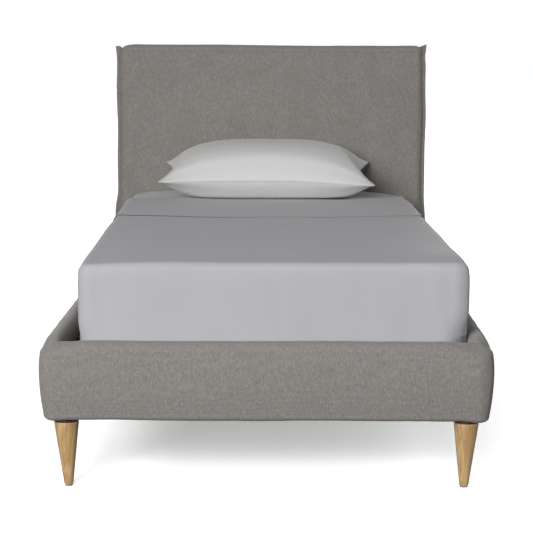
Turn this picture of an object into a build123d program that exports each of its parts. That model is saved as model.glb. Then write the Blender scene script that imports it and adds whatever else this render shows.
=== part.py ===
"""Upholstered single platform bed with mattress, bedding and pillow, in millimetres.

+Z is up, +Y points from the foot to the head and the origin is on the floor under the middle of the bed.
"""

from build123d import *
import os

os.makedirs("parts", exist_ok=True)

# Whole bed
bed_width = 1110
bed_length = 2070
headboard_top = 1077
rail_bottom = 177
rail_top = 372
foot_y = -bed_length / 2
head_y = bed_length / 2

# Upholstery
cloth = 1.5  # thickness of the woven cover
crest_height = 344  # where the rolled top of a rail begins
belly_height = 288  # where a rail is thickest
belly_reach = 53  # depth of the padded roll, from the outer face
crest_setback = 3  # of the outer face where the rolled top begins
tuck_height = 190  # below this a rail's face turns under
tuck_setback = 9
turn_height = 181  # middle of that turn
turn_setback = 12
underside_setback = 19  # where the flat underside begins
end_crest_setback = 10  # middle of the rolled top at the foot rail's ends
plan_corner_radius = 40
flap_top = 322  # where the rolled top meets the inner face
flap_bottom = 300  # the cover is stapled to the inner face down to here

# Timber
board_thickness = 22
board_inner = 43  # depth of a rail board's inner face, from the outer face
board_bottom = rail_bottom + cloth
board_height = 165
board_outer = board_inner - board_thickness
side_board_x = bed_width / 2 - board_inner  # inner face of a side board
foot_board_y = foot_y + board_inner  # inner face of the foot board
block_size = 100
block_height = 40
ledger_width = 28
ledger_height = 30
slat_count = 13
slat_width = 70
slat_thickness = 18
slat_corner_radius = 6
slat_length = 1010
slat_field = 1850  # first slat's front edge to last slat's back edge
slat_bottom = 292
strap_x = 250
strap_width = 20
strap_thickness = 1.2
beam_width = 35
beam_height = 60

# Headboard
headboard_thickness = 85
headboard_width = 1083  # without its flanges
headboard_front = head_y - headboard_thickness
headboard_foam = 30
headboard_side_foam = 15
headboard_top_foam = 18
headboard_edge_radius = 20
headboard_panel_thickness = 9
stile_width = 60
middle_rail_bottom = 620
bolt_bore_margin = 2  # a bolt's bore goes this far past its tip
flange_reach = 10
flange_thickness = 3
flange_setback = 24  # behind the headboard's front face

# Legs
leg_x = 494
front_leg_y = foot_y + 62
rear_leg_y = head_y - 35
leg_top_diameter = 61
leg_bottom_diameter = 22.5
leg_lean = 3.5  # how far a leg's foot stands inward of its top
collar_height = 11.5
glide_diameter = 19
glide_height = 6
leg_top = rail_bottom - collar_height
hanger_bolt_diameter = 8
hanger_bolt_length = 69
hanger_bolt_bottom = 135
leg_head = 5  # straight part at the top of a leg
insert_diameter = 12
insert_length = 20

# Adjustable support legs under the centre beam
support_leg_y = 250
support_leg_bottom = 28
stem_diameter = 8
stem_clearance = 0.3
stem_bottom = 4.3
stem_top = 70
stem_bore_top = 85
pad_diameter = 40
pad_height = 8
pad_socket_floor = 4
hex_across_flats = 13
hex_bottom = 9
hex_height = 4
nut_diameter = 11
nut_length = 12
nut_flange_diameter = 24
nut_flange_thickness = 1.5

# Brackets and screws
plate = 3
bracket_leg = 60
bracket_bottom = 245
bracket_height = 50
screw_rows = (258, 282)
screw_diameter = 5
screw_head_diameter = 10
screw_head_height = 3
screw_reach = 15  # into the timber
bolt_diameter = 8
bolt_head_diameter = 16
bolt_head_height = 4
bolt_reach = 55  # from the bracket into the stile
saddle_reach = 40
saddle_gap = 4  # from the top of a saddle to the top of the beam

# Mattress and bedding
mattress_width = 963
mattress_length = 1902
mattress_bottom = 310.5
mattress_top = 558
mattress_shift = 1.5  # the mattress lies this far towards +X
mattress_turn = 0.8  # degrees by which its foot end is turned towards +X
mattress_front = -963  # where its foot end would be if it lay straight
mattress_corner_radius = 60
mattress_edge_radius = 25
sheet = 1.5
sheet_fold_y = 600  # where the flat sheet is folded back
cuff_depth = 510
cuff_lap = 1  # the fitted sheet's shape is cut out of the flat sheet this far past the fold
pillow_x = -12
pillow_width = 725
pillow_front = 490
pillow_back = 935
pillow_front_seam = 631
pillow_back_seam = 668
pillow_bottom = 563.2
pillow_top = 754
pillow_end_seam = 640

sides = {"left": -1, "right": 1}
leg_places = {
    "front_left": (-leg_x, front_leg_y),
    "front_right": (leg_x, front_leg_y),
    "rear_left": (-leg_x, rear_leg_y),
    "rear_right": (leg_x, rear_leg_y),
}
support_places = {"front": -support_leg_y, "rear": support_leg_y}


def save(piece, name):
    """Labels a finished piece and writes its STEP file."""
    piece.part.label = name
    export_step(piece.part, f"parts/{name}.step")


def block(x, y, z):
    """A box between two values on each axis."""
    with BuildPart() as box:
        with BuildSketch(Plane.XY.offset(z[0])):
            with Locations(((x[0] + x[1]) / 2, (y[0] + y[1]) / 2)):
                Rectangle(abs(x[1] - x[0]), abs(y[1] - y[0]))
        extrude(amount=z[1] - z[0])
    return box.part


def rod(x, y, bottom, top, diameter):
    """An upright cylinder."""
    with BuildPart() as cylinder:
        with BuildSketch(Plane.XY.offset(bottom)):
            with Locations((x, y)):
                Circle(diameter / 2)
        extrude(amount=top - bottom)
    return cylinder.part


# ---------------------------------------------------------------- padded rails


def rail_section(inset):
    """A rail's closed section: x is the depth from the outer face, y the height.

    The cover's side is moved in by inset; the side that faces the timber stays."""
    flap = board_inner + cloth - inset
    underside = rail_bottom + inset
    under = (underside_setback, underside)
    turn = (turn_setback + inset, turn_height)
    tuck = (tuck_setback + inset, tuck_height)
    roll_front = (crest_setback + inset, crest_height)
    roll_back = (belly_reach - inset, crest_height)
    with BuildSketch() as section:
        with BuildLine():
            Line((board_inner, underside), under)
            ThreePointArc(under, turn, tuck)
            ThreePointArc(tuck, (inset, belly_height), roll_front)
            ThreePointArc(roll_front, (belly_reach / 2, rail_top - inset), roll_back)
            Line(roll_back, (flap, flap_top))
            Line((flap, flap_top), (flap, flap_bottom))
            if flap > board_inner:
                Line((flap, flap_bottom), (board_inner, flap_bottom))
            Line((board_inner, flap_bottom), (board_inner, underside))
        make_face()
    return section.sketch


def end_section(inset):
    """The foot rail seen from the front: both ends bulge and roll over as a rail's outer face does."""
    half = bed_width / 2
    underside = rail_bottom + inset
    crest = rail_top - inset
    under = (half - underside_setback, underside)
    turn = (half - turn_setback - inset, turn_height)
    tuck = (half - tuck_setback - inset, tuck_height)
    roll_front = (half - crest_setback - inset, crest_height)
    roll_middle = (half - end_crest_setback - inset, crest - end_crest_setback)
    roll_back = (half - belly_reach / 2, crest)
    with BuildSketch() as section:
        with BuildLine():
            Line((0, underside), under)
            ThreePointArc(under, turn, tuck)
            ThreePointArc(tuck, (half - inset, belly_height), roll_front)
            ThreePointArc(roll_front, roll_middle, roll_back)
            Line(roll_back, (0, crest))
            mirror(about=Plane.YZ)
        make_face()
    return section.sketch


def foot_rail_plan(inset):
    """The foot rail seen from above: round front corners, and a step at each end for the side rail."""
    half = bed_width / 2 - inset
    front = foot_y + inset
    radius = plan_corner_radius - inset
    roll_x = bed_width / 2 - belly_reach - 0.5
    roll_y = foot_y + belly_reach + 2
    with BuildSketch() as plan:
        with BuildLine():
            Line((0, front), (half - radius, front))
            RadiusArc((half - radius, front), (half, front + radius), -radius)
            Line((half, front + radius), (half, foot_board_y))
            Line((half, foot_board_y), (roll_x, foot_board_y))
            Line((roll_x, foot_board_y), (roll_x, roll_y))
            Line((roll_x, roll_y), (0, roll_y))
            mirror(about=Plane.YZ)
        make_face()
    return plan.sketch


def foot_rail_body(inset):
    """The whole padded foot rail with its outer surface moved in by inset."""
    with BuildPart() as body:
        with BuildSketch(Plane(origin=(-bed_width / 2, foot_y, 0), x_dir=(0, 1, 0), z_dir=(1, 0, 0))):
            add(rail_section(inset))
        extrude(amount=bed_width)
        with BuildSketch(Plane.XZ.offset(-foot_y + 1)):
            add(end_section(inset))
        extrude(amount=-(belly_reach + 5), mode=Mode.INTERSECT)
        with BuildSketch(Plane.XY.offset(rail_bottom - 1)):
            add(foot_rail_plan(inset))
        extrude(amount=rail_top - rail_bottom + 2, mode=Mode.INTERSECT)
    return body.part


def side_rail_plane(side):
    """Section plane of a side rail, with x running from its outer face inwards."""
    if side > 0:
        return Plane(origin=(bed_width / 2, foot_board_y, 0), x_dir=(-1, 0, 0), z_dir=(0, 1, 0))
    return Plane(origin=(-bed_width / 2, headboard_front, 0), x_dir=(1, 0, 0), z_dir=(0, -1, 0))


def side_rail_body(side, inset):
    """A whole padded side rail, from the foot board to the headboard."""
    with BuildPart() as body:
        with BuildSketch(side_rail_plane(side)):
            add(rail_section(inset))
        extrude(amount=headboard_front - foot_board_y)
    return body.part


with BuildPart() as foot_rail_cover:
    add(foot_rail_body(0))
    add(foot_rail_body(cloth), mode=Mode.SUBTRACT)
save(foot_rail_cover, "foot_rail_cover")

foot_board_half = bed_width / 2 - board_outer
with BuildPart() as foot_rail_board:
    add(
        block(
            (-foot_board_half, foot_board_half),
            (foot_y + board_outer, foot_board_y),
            (board_bottom, board_bottom + board_height),
        )
    )
with BuildPart() as foot_rail_foam:
    add(foot_rail_body(cloth))
    add(foot_rail_board.part, mode=Mode.SUBTRACT)
save(foot_rail_foam, "foot_rail_foam")

side_boards = {}
for name, side in sides.items():
    with BuildPart() as side_rail_cover:
        add(side_rail_body(side, 0))
        add(side_rail_body(side, cloth), mode=Mode.SUBTRACT)
    save(side_rail_cover, f"{name}_rail_cover")

    with BuildPart() as side_rail_board:
        add(
            block(
                (side * side_board_x, side * (side_board_x + board_thickness)),
                (foot_board_y, headboard_front),
                (board_bottom, board_bottom + board_height),
            )
        )
    side_boards[name] = side_rail_board.part

    with BuildPart() as side_rail_foam:
        add(side_rail_body(side, cloth))
        add(side_rail_board.part, mode=Mode.SUBTRACT)
    save(side_rail_foam, f"{name}_rail_foam")


# ---------------------------------------------------------------- headboard


def headboard_shell(inset):
    """The padded headboard's outer shape, moved in by inset on every face but the back."""
    radius = headboard_edge_radius - inset
    with BuildPart() as shell:
        add(
            block(
                (-headboard_width / 2 + inset, headboard_width / 2 - inset),
                (headboard_front + inset, head_y),
                (rail_bottom + inset, headboard_top - inset),
            )
        )
        fillet(shell.faces().sort_by(Axis.Z)[-1].edges().filter_by(Axis.Y), radius)
        front_face = shell.faces().sort_by(Axis.Y)[0]
        bottom_edge = front_face.edges().sort_by(Axis.Z)[0]
        fillet([edge for edge in front_face.edges() if edge != bottom_edge], radius)
    return shell.part


core_half = headboard_width / 2 - cloth - headboard_side_foam
core_top = headboard_top - cloth - headboard_top_foam
core_front = headboard_front + cloth + headboard_foam
frame_front = core_front + headboard_panel_thickness
core_back = head_y - cloth

with BuildPart() as bolt_bores:
    for side in sides.values():
        for z in screw_rows:
            with BuildSketch(Plane.XZ.offset(-headboard_front + plate)):
                with Locations((side * (side_board_x - bracket_leg / 2), z)):
                    Circle(bolt_diameter / 2)
            extrude(amount=-bolt_reach - plate)
hanger_bore_top = hanger_bolt_bottom + hanger_bolt_length + bolt_bore_margin
insert_top = board_bottom + insert_length
with BuildPart() as rear_leg_bores:
    for side in sides.values():
        add(rod(side * leg_x, rear_leg_y, rail_bottom, insert_top, insert_diameter))
        add(rod(side * leg_x, rear_leg_y, rail_bottom, hanger_bore_top, hanger_bolt_diameter))

with BuildPart() as headboard_cover:
    add(headboard_shell(0))
    add(headboard_shell(cloth), mode=Mode.SUBTRACT)
    add(bolt_bores.part, mode=Mode.SUBTRACT)
    add(rear_leg_bores.part, mode=Mode.SUBTRACT)
save(headboard_cover, "headboard_cover")

with BuildPart() as headboard_core_space:
    add(block((-core_half, core_half), (core_front, head_y), (board_bottom, core_top)))
with BuildPart() as headboard_foam_pad:
    add(headboard_shell(cloth))
    add(headboard_core_space.part, mode=Mode.SUBTRACT)
    split(bisect_by=Plane.XZ.offset(-core_back), keep=Keep.TOP)
    add(bolt_bores.part, mode=Mode.SUBTRACT)
save(headboard_foam_pad, "headboard_foam")

with BuildPart() as headboard_panel:
    add(block((-core_half, core_half), (core_front, frame_front), (board_bottom, core_top)))
    add(bolt_bores.part, mode=Mode.SUBTRACT)
save(headboard_panel, "headboard_panel")

with BuildPart() as headboard_back_cloth:
    add(headboard_shell(cloth))
    split(bisect_by=Plane.XZ.offset(-core_back), keep=Keep.BOTTOM)
save(headboard_back_cloth, "headboard_back_cloth")

stile_inner = core_half - stile_width
flange_x = headboard_width / 2
flange_front = headboard_front + flange_setback
for name, side in sides.items():
    with BuildPart() as headboard_stile:
        ends = (side * stile_inner, side * core_half)
        add(block(ends, (frame_front, core_back), (board_bottom, core_top)))
        add(bolt_bores.part, mode=Mode.SUBTRACT)
        add(rear_leg_bores.part, mode=Mode.SUBTRACT)
    save(headboard_stile, f"headboard_stile_{name}")

    with BuildPart() as headboard_flange:
        add(
            block(
                (side * flange_x, side * (flange_x + flange_reach)),
                (flange_front, flange_front + flange_thickness),
                (rail_bottom, headboard_top - headboard_edge_radius),
            )
        )
    save(headboard_flange, f"headboard_flange_{name}")

headboard_rails = {
    "top": (core_top - stile_width, core_top),
    "middle": (middle_rail_bottom, middle_rail_bottom + stile_width),
    "bottom": (board_bottom, board_bottom + 2 * stile_width),
}
for name, heights in headboard_rails.items():
    with BuildPart() as headboard_rail:
        add(block((-stile_inner, stile_inner), (frame_front, core_back), heights))
    save(headboard_rail, f"headboard_{name}_rail")


# ---------------------------------------------------------------- brackets, bolts and rail boards


def bracket(side, corner_y, towards_foot):
    """An angle plate in a corner of the frame: one leg on the side board, one across the end."""
    inner = side_board_x
    heights = (bracket_bottom, bracket_bottom + bracket_height)
    along = corner_y - towards_foot * bracket_leg
    face = corner_y - towards_foot * plate
    with BuildPart() as angle:
        add(block((side * (inner - plate), side * inner), (corner_y, along), heights))
        add(block((side * (inner - bracket_leg), side * inner), (corner_y, face), heights))
    return angle.part


def side_screws(side, y):
    """Two pan-head screws through a bracket into a side board."""
    face = side * (side_board_x - plate)
    with BuildPart() as pair:
        for z in screw_rows:
            with BuildSketch(Plane(origin=(face, y, z), x_dir=(0, 1, 0), z_dir=(side, 0, 0))):
                Circle(screw_diameter / 2)
            extrude(amount=plate + screw_reach)
            with BuildSketch(Plane(origin=(face, y, z), x_dir=(0, 1, 0), z_dir=(-side, 0, 0))):
                Circle(screw_head_diameter / 2)
            extrude(amount=screw_head_height)
    return pair.part


def foot_screws(side):
    """Two pan-head screws through a bracket into the foot board."""
    face = foot_board_y + plate
    with BuildPart() as pair:
        for z in screw_rows:
            place = (side * (side_board_x - bracket_leg / 2), face, z)
            with BuildSketch(Plane(origin=place, x_dir=(1, 0, 0), z_dir=(0, -1, 0))):
                Circle(screw_diameter / 2)
            extrude(amount=plate + screw_reach)
            with BuildSketch(Plane(origin=place, x_dir=(1, 0, 0), z_dir=(0, 1, 0))):
                Circle(screw_head_diameter / 2)
            extrude(amount=screw_head_height)
    return pair.part


screw_setback = bracket_leg * 2 / 3
with BuildPart() as bracket_screws:
    for side in sides.values():
        add(side_screws(side, foot_board_y + screw_setback))
        add(side_screws(side, headboard_front - screw_setback))
        add(foot_screws(side))
save(bracket_screws, "bracket_screws")

with BuildPart() as headboard_bolts:
    for side in sides.values():
        for z in screw_rows:
            place = (side * (side_board_x - bracket_leg / 2), headboard_front - plate, z)
            with BuildSketch(Plane(origin=place, x_dir=(1, 0, 0), z_dir=(0, 1, 0))):
                Circle(bolt_diameter / 2)
            extrude(amount=plate + bolt_reach)
            with BuildSketch(Plane(origin=place, x_dir=(1, 0, 0), z_dir=(0, -1, 0))):
                Circle(bolt_head_diameter / 2)
            extrude(amount=bolt_head_height)
save(headboard_bolts, "headboard_bolts")

with BuildPart() as foot_brackets:
    for side in sides.values():
        add(bracket(side, foot_board_y, -1))
    add(bracket_screws.part, mode=Mode.SUBTRACT)
save(foot_brackets, "foot_brackets")

with BuildPart() as head_brackets:
    for side in sides.values():
        add(bracket(side, headboard_front, 1))
    add(bracket_screws.part, mode=Mode.SUBTRACT)
    add(headboard_bolts.part, mode=Mode.SUBTRACT)
save(head_brackets, "head_brackets")

with BuildPart() as drilled_foot_board:
    add(foot_rail_board.part)
    add(bracket_screws.part, mode=Mode.SUBTRACT)
save(drilled_foot_board, "foot_rail_board")

for name in sides:
    with BuildPart() as drilled_side_board:
        add(side_boards[name])
        add(bracket_screws.part, mode=Mode.SUBTRACT)
    save(drilled_side_board, f"{name}_rail_board")


# ---------------------------------------------------------------- slat platform

for name, side in sides.items():
    with BuildPart() as ledger:
        add(
            block(
                (side * (side_board_x - ledger_width), side * side_board_x),
                (-slat_field / 2, headboard_front - bracket_leg - 5),
                (slat_bottom - ledger_height, slat_bottom),
            )
        )
    save(ledger, f"slat_ledger_{name}")

with BuildPart() as slats:
    with BuildSketch(Plane.XY.offset(slat_bottom)):
        with GridLocations(0, (slat_field - slat_width) / (slat_count - 1), 1, slat_count):
            RectangleRounded(slat_length, slat_width, slat_corner_radius)
    extrude(amount=slat_thickness)
save(slats, "slats")

with BuildPart() as slat_straps:
    with BuildSketch(Plane.XY.offset(slat_bottom - strap_thickness)):
        with GridLocations(2 * strap_x, 0, 2, 1):
            Rectangle(strap_width, slat_field)
    extrude(amount=strap_thickness)
save(slat_straps, "slat_straps")

beam_front = foot_board_y + plate
beam_back = headboard_front - plate
beam_half = beam_width / 2
beam_bottom = slat_bottom - beam_height
with BuildPart() as centre_beam:
    add(block((-beam_half, beam_half), (beam_front, beam_back), (beam_bottom, slat_bottom)))
save(centre_beam, "centre_beam")

saddle_half = beam_half + plate
saddle_bottom = beam_bottom - plate
saddle_top = slat_bottom - saddle_gap
with BuildPart() as beam_saddles:
    for wall, inwards in ((foot_board_y, 1), (headboard_front, -1)):
        face = wall + inwards * plate
        tip = wall + inwards * saddle_reach
        add(block((-beam_width, beam_width), (wall, face), (saddle_bottom, saddle_top)))
        add(block((-saddle_half, saddle_half), (face, tip), (saddle_bottom, beam_bottom)))
        for side in sides.values():
            add(
                block(
                    (side * beam_half, side * saddle_half),
                    (face, tip),
                    (beam_bottom, saddle_top),
                )
            )
save(beam_saddles, "beam_saddles")


# ---------------------------------------------------------------- legs

for name, side in sides.items():
    with BuildPart() as corner_block:
        add(
            block(
                (side * (side_board_x - block_size), side * side_board_x),
                (foot_board_y, foot_board_y + block_size),
                (rail_bottom, rail_bottom + block_height),
            )
        )
        add(
            rod(side * leg_x, front_leg_y, rail_bottom, insert_top, insert_diameter),
            mode=Mode.SUBTRACT,
        )
        add(
            rod(side * leg_x, front_leg_y, rail_bottom, hanger_bore_top, hanger_bolt_diameter),
            mode=Mode.SUBTRACT,
        )
    save(corner_block, f"corner_block_{name}")

for name, (x, y) in leg_places.items():
    foot_x = x - leg_lean if x > 0 else x + leg_lean
    with BuildPart() as leg:
        with BuildSketch(Plane.XY.offset(glide_height)):
            with Locations((foot_x, y)):
                Circle(leg_bottom_diameter / 2)
        with BuildSketch(Plane.XY.offset(leg_top - leg_head)):
            with Locations((x, y)):
                Circle(leg_top_diameter / 2)
        loft()
        add(rod(x, y, leg_top - leg_head, leg_top, leg_top_diameter))
        fillet(leg.faces().sort_by(Axis.Z)[-1].edges(), 1.5)
        add(rod(x, y, hanger_bolt_bottom, leg_top, hanger_bolt_diameter), mode=Mode.SUBTRACT)
    save(leg, f"leg_{name}")

    with BuildPart() as leg_collar:
        add(rod(x, y, leg_top, rail_bottom, leg_top_diameter - 1))
        add(rod(x, y, leg_top, rail_bottom, hanger_bolt_diameter), mode=Mode.SUBTRACT)
    save(leg_collar, f"leg_collar_{name}")

    with BuildPart() as leg_glide:
        add(rod(foot_x, y, 0, glide_height, glide_diameter))
        fillet(leg_glide.faces().sort_by(Axis.Z)[0].edges(), 1.2)
    save(leg_glide, f"leg_glide_{name}")

with BuildPart() as leg_hanger_bolts:
    for x, y in leg_places.values():
        add(rod(x, y, hanger_bolt_bottom, hanger_bolt_bottom + hanger_bolt_length, hanger_bolt_diameter))
save(leg_hanger_bolts, "leg_hanger_bolts")

with BuildPart() as leg_inserts:
    for x, y in leg_places.values():
        add(rod(x, y, board_bottom, insert_top, insert_diameter))
        add(rod(x, y, board_bottom, insert_top, hanger_bolt_diameter), mode=Mode.SUBTRACT)
save(leg_inserts, "leg_inserts")


# ---------------------------------------------------------------- adjustable support legs

stem_bore = stem_diameter + 2 * stem_clearance
nut_bottom = support_leg_bottom - nut_flange_thickness
nut_top = support_leg_bottom + nut_length
for name, y in support_places.items():
    with BuildPart() as support_leg:
        add(
            block(
                (-beam_half, beam_half),
                (y - beam_half, y + beam_half),
                (support_leg_bottom, beam_bottom),
            )
        )
        add(rod(0, y, support_leg_bottom, stem_bore_top, stem_bore), mode=Mode.SUBTRACT)
        add(rod(0, y, support_leg_bottom, nut_top, nut_diameter), mode=Mode.SUBTRACT)
    save(support_leg, f"support_leg_{name}")

    with BuildPart() as leveler_stem:
        add(rod(0, y, stem_bottom, stem_top, stem_diameter))
        with BuildSketch(Plane.XY.offset(hex_bottom)):
            with Locations((0, y)):
                RegularPolygon(hex_across_flats / 2, 6, major_radius=False)
        extrude(amount=hex_height)
        chamfer(leveler_stem.faces().sort_by(Axis.Z)[-1].edges(), 1)
    save(leveler_stem, f"leveler_stem_{name}")

    with BuildPart() as leveler_pad:
        add(rod(0, y, 0, pad_height, pad_diameter))
        chamfer(leveler_pad.faces().sort_by(Axis.Z)[-1].edges(), 3)
        add(rod(0, y, pad_socket_floor, pad_height, stem_bore), mode=Mode.SUBTRACT)
    save(leveler_pad, f"leveler_pad_{name}")

with BuildPart() as leveler_nuts:
    for y in support_places.values():
        add(rod(0, y, nut_bottom, support_leg_bottom, nut_flange_diameter))
        add(rod(0, y, support_leg_bottom, nut_top, nut_diameter))
        add(rod(0, y, nut_bottom, nut_top, stem_bore), mode=Mode.SUBTRACT)
save(leveler_nuts, "leveler_nuts")


# ---------------------------------------------------------------- mattress and bedding


def mattress_body(out, back=None):
    """The mattress's shape moved out by out on its top and sides, cut off at back if it is given."""
    length = mattress_length + 2 * out
    middle = Plane(origin=(mattress_shift, mattress_front + mattress_length / 2, mattress_bottom))
    with BuildPart() as body:
        with BuildSketch(middle.rotated((0, 0, mattress_turn))):
            RectangleRounded(mattress_width + 2 * out, length, mattress_corner_radius + out)
        extrude(amount=mattress_top - mattress_bottom + out)
        fillet(body.faces().sort_by(Axis.Z)[-1].edges(), mattress_edge_radius + out)
        if back is not None:
            split(bisect_by=Plane.XZ.offset(-back), keep=Keep.TOP)
    return body.part


with BuildPart() as mattress:
    add(mattress_body(0))
save(mattress, "mattress")

with BuildPart() as fitted_sheet:
    add(mattress_body(sheet))
    add(mattress_body(0), mode=Mode.SUBTRACT)
save(fitted_sheet, "fitted_sheet")

# The flat sheet lies over the fitted sheet from the foot, and its head end is folded back into a cuff.
cuff_front = sheet_fold_y - cuff_depth
with BuildPart() as ahead_of_cuff:
    add(mattress_body(3 * sheet, cuff_front))
    add(mattress_body(2 * sheet, cuff_front), mode=Mode.SUBTRACT)
with BuildPart() as flat_sheet:
    add(mattress_body(2 * sheet, sheet_fold_y))
    add(mattress_body(3 * sheet, sheet_fold_y))
    add(ahead_of_cuff.part, mode=Mode.SUBTRACT)
    add(mattress_body(sheet, sheet_fold_y + cuff_lap), mode=Mode.SUBTRACT)
save(flat_sheet, "flat_sheet")


def pillow_body(inset):
    """A pillow as the meeting of two lens sections and a rounded plan, moved in by inset."""
    front = pillow_front + inset
    back = pillow_back - inset
    left = pillow_x - pillow_width / 2 + inset
    right = pillow_x + pillow_width / 2 - inset
    top = pillow_top - inset
    bottom = pillow_bottom + inset
    middle_y = (pillow_front + pillow_back) / 2
    with BuildPart() as body:
        with BuildSketch(Plane.YZ.offset(left)):
            with BuildLine():
                ThreePointArc((front, pillow_front_seam), (middle_y, top), (back, pillow_back_seam))
                ThreePointArc((front, pillow_front_seam), (middle_y, bottom), (back, pillow_back_seam))
            make_face()
        extrude(amount=right - left)
        with BuildSketch(Plane.XZ.offset(-pillow_front)):
            with BuildLine():
                ThreePointArc((left, pillow_end_seam), (pillow_x, top), (right, pillow_end_seam))
                ThreePointArc((left, pillow_end_seam), (pillow_x, bottom), (right, pillow_end_seam))
            make_face()
        extrude(amount=pillow_front - pillow_back, mode=Mode.INTERSECT)
    return body.part


with BuildPart() as pillow:
    add(pillow_body(sheet))
save(pillow, "pillow")

with BuildPart() as pillowcase:
    add(pillow_body(0))
    add(pillow_body(sheet), mode=Mode.SUBTRACT)
save(pillowcase, "pillowcase")
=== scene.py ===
"""The looks of an upholstered single bed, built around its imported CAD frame. Metres."""

import cmath
import math

import bmesh
import bpy
import numpy as np
from mathutils import Matrix, Vector


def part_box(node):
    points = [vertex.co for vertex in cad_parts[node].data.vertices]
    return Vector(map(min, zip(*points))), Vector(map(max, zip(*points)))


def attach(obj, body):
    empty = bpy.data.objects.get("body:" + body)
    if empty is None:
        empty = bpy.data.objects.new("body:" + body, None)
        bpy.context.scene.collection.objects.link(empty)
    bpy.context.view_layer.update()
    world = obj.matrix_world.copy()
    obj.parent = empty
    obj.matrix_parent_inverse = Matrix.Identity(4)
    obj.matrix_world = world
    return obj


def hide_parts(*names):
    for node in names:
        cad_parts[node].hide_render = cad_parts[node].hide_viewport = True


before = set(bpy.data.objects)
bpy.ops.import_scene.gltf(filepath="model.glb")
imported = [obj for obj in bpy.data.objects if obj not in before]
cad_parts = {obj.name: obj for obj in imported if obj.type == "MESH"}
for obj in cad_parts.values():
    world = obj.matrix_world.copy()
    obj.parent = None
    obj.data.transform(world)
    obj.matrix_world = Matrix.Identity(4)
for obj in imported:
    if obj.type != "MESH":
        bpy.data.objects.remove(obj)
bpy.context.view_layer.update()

scene = bpy.context.scene
MM = 0.001
WELD = 0.02 * MM  # points closer than this are one

# ---- places read from the frame

FOOT_LOW, FOOT_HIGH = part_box("foot_rail_cover")
SIDE_LOW, SIDE_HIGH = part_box("right_rail_cover")
BOARD_LOW, BOARD_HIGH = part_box("right_rail_board")
HEAD_LOW, HEAD_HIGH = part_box("headboard_cover")
HALF = FOOT_HIGH.x  # half the width over the rails
FRONT = FOOT_LOW.y  # outer face of the foot rail
SEAM = SIDE_LOW.y  # where a side rail meets the foot rail
BUTT = SIDE_HIGH.y  # where a side rail meets the headboard
RAIL_BOTTOM = FOOT_LOW.z
RAIL_TOP = FOOT_HIGH.z


# ---- geometry helpers


def mesh_piece(name, points, faces):
    """A mesh object from points and faces, with its doubled points merged."""
    mesh = bpy.data.meshes.new(name)
    mesh.from_pydata([tuple(p) for p in points], [], faces)
    work = bmesh.new()
    work.from_mesh(mesh)
    bmesh.ops.remove_doubles(work, verts=work.verts, dist=WELD)
    bmesh.ops.dissolve_degenerate(work, edges=work.edges, dist=WELD)
    bmesh.ops.recalc_face_normals(work, faces=work.faces)
    work.to_mesh(mesh)
    work.free()
    mesh.shade_smooth()
    piece = bpy.data.objects.new(name, mesh)
    scene.collection.objects.link(piece)
    return piece


def vertex_values(mesh, kind):
    values = np.zeros(len(mesh.vertices) * 3)
    mesh.vertices.foreach_get(kind, values)
    return values.reshape(-1, 3)


def coordinates(piece):
    return vertex_values(piece.data, "co")


def move_points(piece, co):
    piece.data.vertices.foreach_set("co", np.ascontiguousarray(co, float).ravel())
    piece.data.update()


def swell(piece, amount, directions=None):
    """Moves every point by amount(points) along its normal, or along directions(points)."""
    co = coordinates(piece)
    along = vertex_values(piece.data, "normal") if directions is None else directions(co)
    move_points(piece, co + along * amount(co)[:, None])


def paint_open_edge_shade(piece, lowest):
    """Marks a sheet's open edge, its hem, above a height as a seam: the cloth's material paints a thin shadow
    line there.
    """
    work = bmesh.new()
    work.from_mesh(piece.data)
    hem = [float(v.is_boundary and v.co.z > lowest) for v in work.verts]
    work.free()
    paint_seam_shade(piece, lambda co: np.array(hem))


def paint_seam_shade(piece, amount):
    """Stores how deep in a seam each point lies, for the cloth's material, which darkens it there: painted
    shade.
    """
    layer = piece.data.attributes.new("seam", "FLOAT", "POINT")
    layer.data.foreach_set("value", np.ascontiguousarray(amount(coordinates(piece)), np.float32))


def ripple(co, wavelength, seed, stretch=(1, 1, 1)):
    """A smooth random field of about -1 to 1 over points, the sum of a few waves."""
    waves = 7
    random = np.random.default_rng(seed)
    total = np.zeros(len(co))
    for _ in range(waves):
        direction = random.normal(size=3)
        direction *= (0.6 + 0.8 * random.random()) / np.linalg.norm(direction)
        phase = random.random() * 2 * math.pi
        total += np.sin(co @ (direction / np.array(stretch)) * 2 * math.pi / wavelength + phase)
    return total / math.sqrt(waves)


def step(x, start, end):
    """0 before start, 1 after end, smooth between; start may be above end."""
    t = np.clip((np.asarray(x, float) - start) / (end - start), 0, 1)
    return t * t * (3 - 2 * t)


def bump_at(x, centre, width):
    return np.exp(-(((np.asarray(x, float) - centre) / width) ** 2))


def arc(p, q, r, count):
    """count points of the circle arc from p through q, up to but without r."""
    p, q, r = (complex(*v) for v in (p, q, r))
    w = (r - p) / (q - p)
    centre = p + (q - p) * (w - abs(w) ** 2) / (2j * w.imag)
    start, through, end = (cmath.phase(v - centre) for v in (p, q, r))
    sweep = (end - start) % (2 * math.pi)
    if (through - start) % (2 * math.pi) > sweep:
        sweep -= 2 * math.pi
    turned = [centre + (p - centre) * cmath.exp(1j * sweep * i / count) for i in range(count)]
    return [(v.real, v.imag) for v in turned]


def line(p, r, count):
    """count points from p towards r, without r."""
    return [(p[0] + (r[0] - p[0]) * i / count, p[1] + (r[1] - p[1]) * i / count) for i in range(count)]


def loft(name, rings):
    """A surface through rings of points, closed round each ring, with flat ends."""
    count = len(rings[0])
    points = [p for ring in rings for p in ring]
    faces = []
    for i in range(len(rings) - 1):
        for j in range(count):
            k = (j + 1) % count
            faces.append((i * count + j, i * count + k, (i + 1) * count + k, (i + 1) * count + j))
    last = (len(rings) - 1) * count
    faces.append(tuple(range(count))[::-1])
    faces.append(tuple(range(last, last + count)))
    return mesh_piece(name, points, faces)


# ---- padded rails

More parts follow.
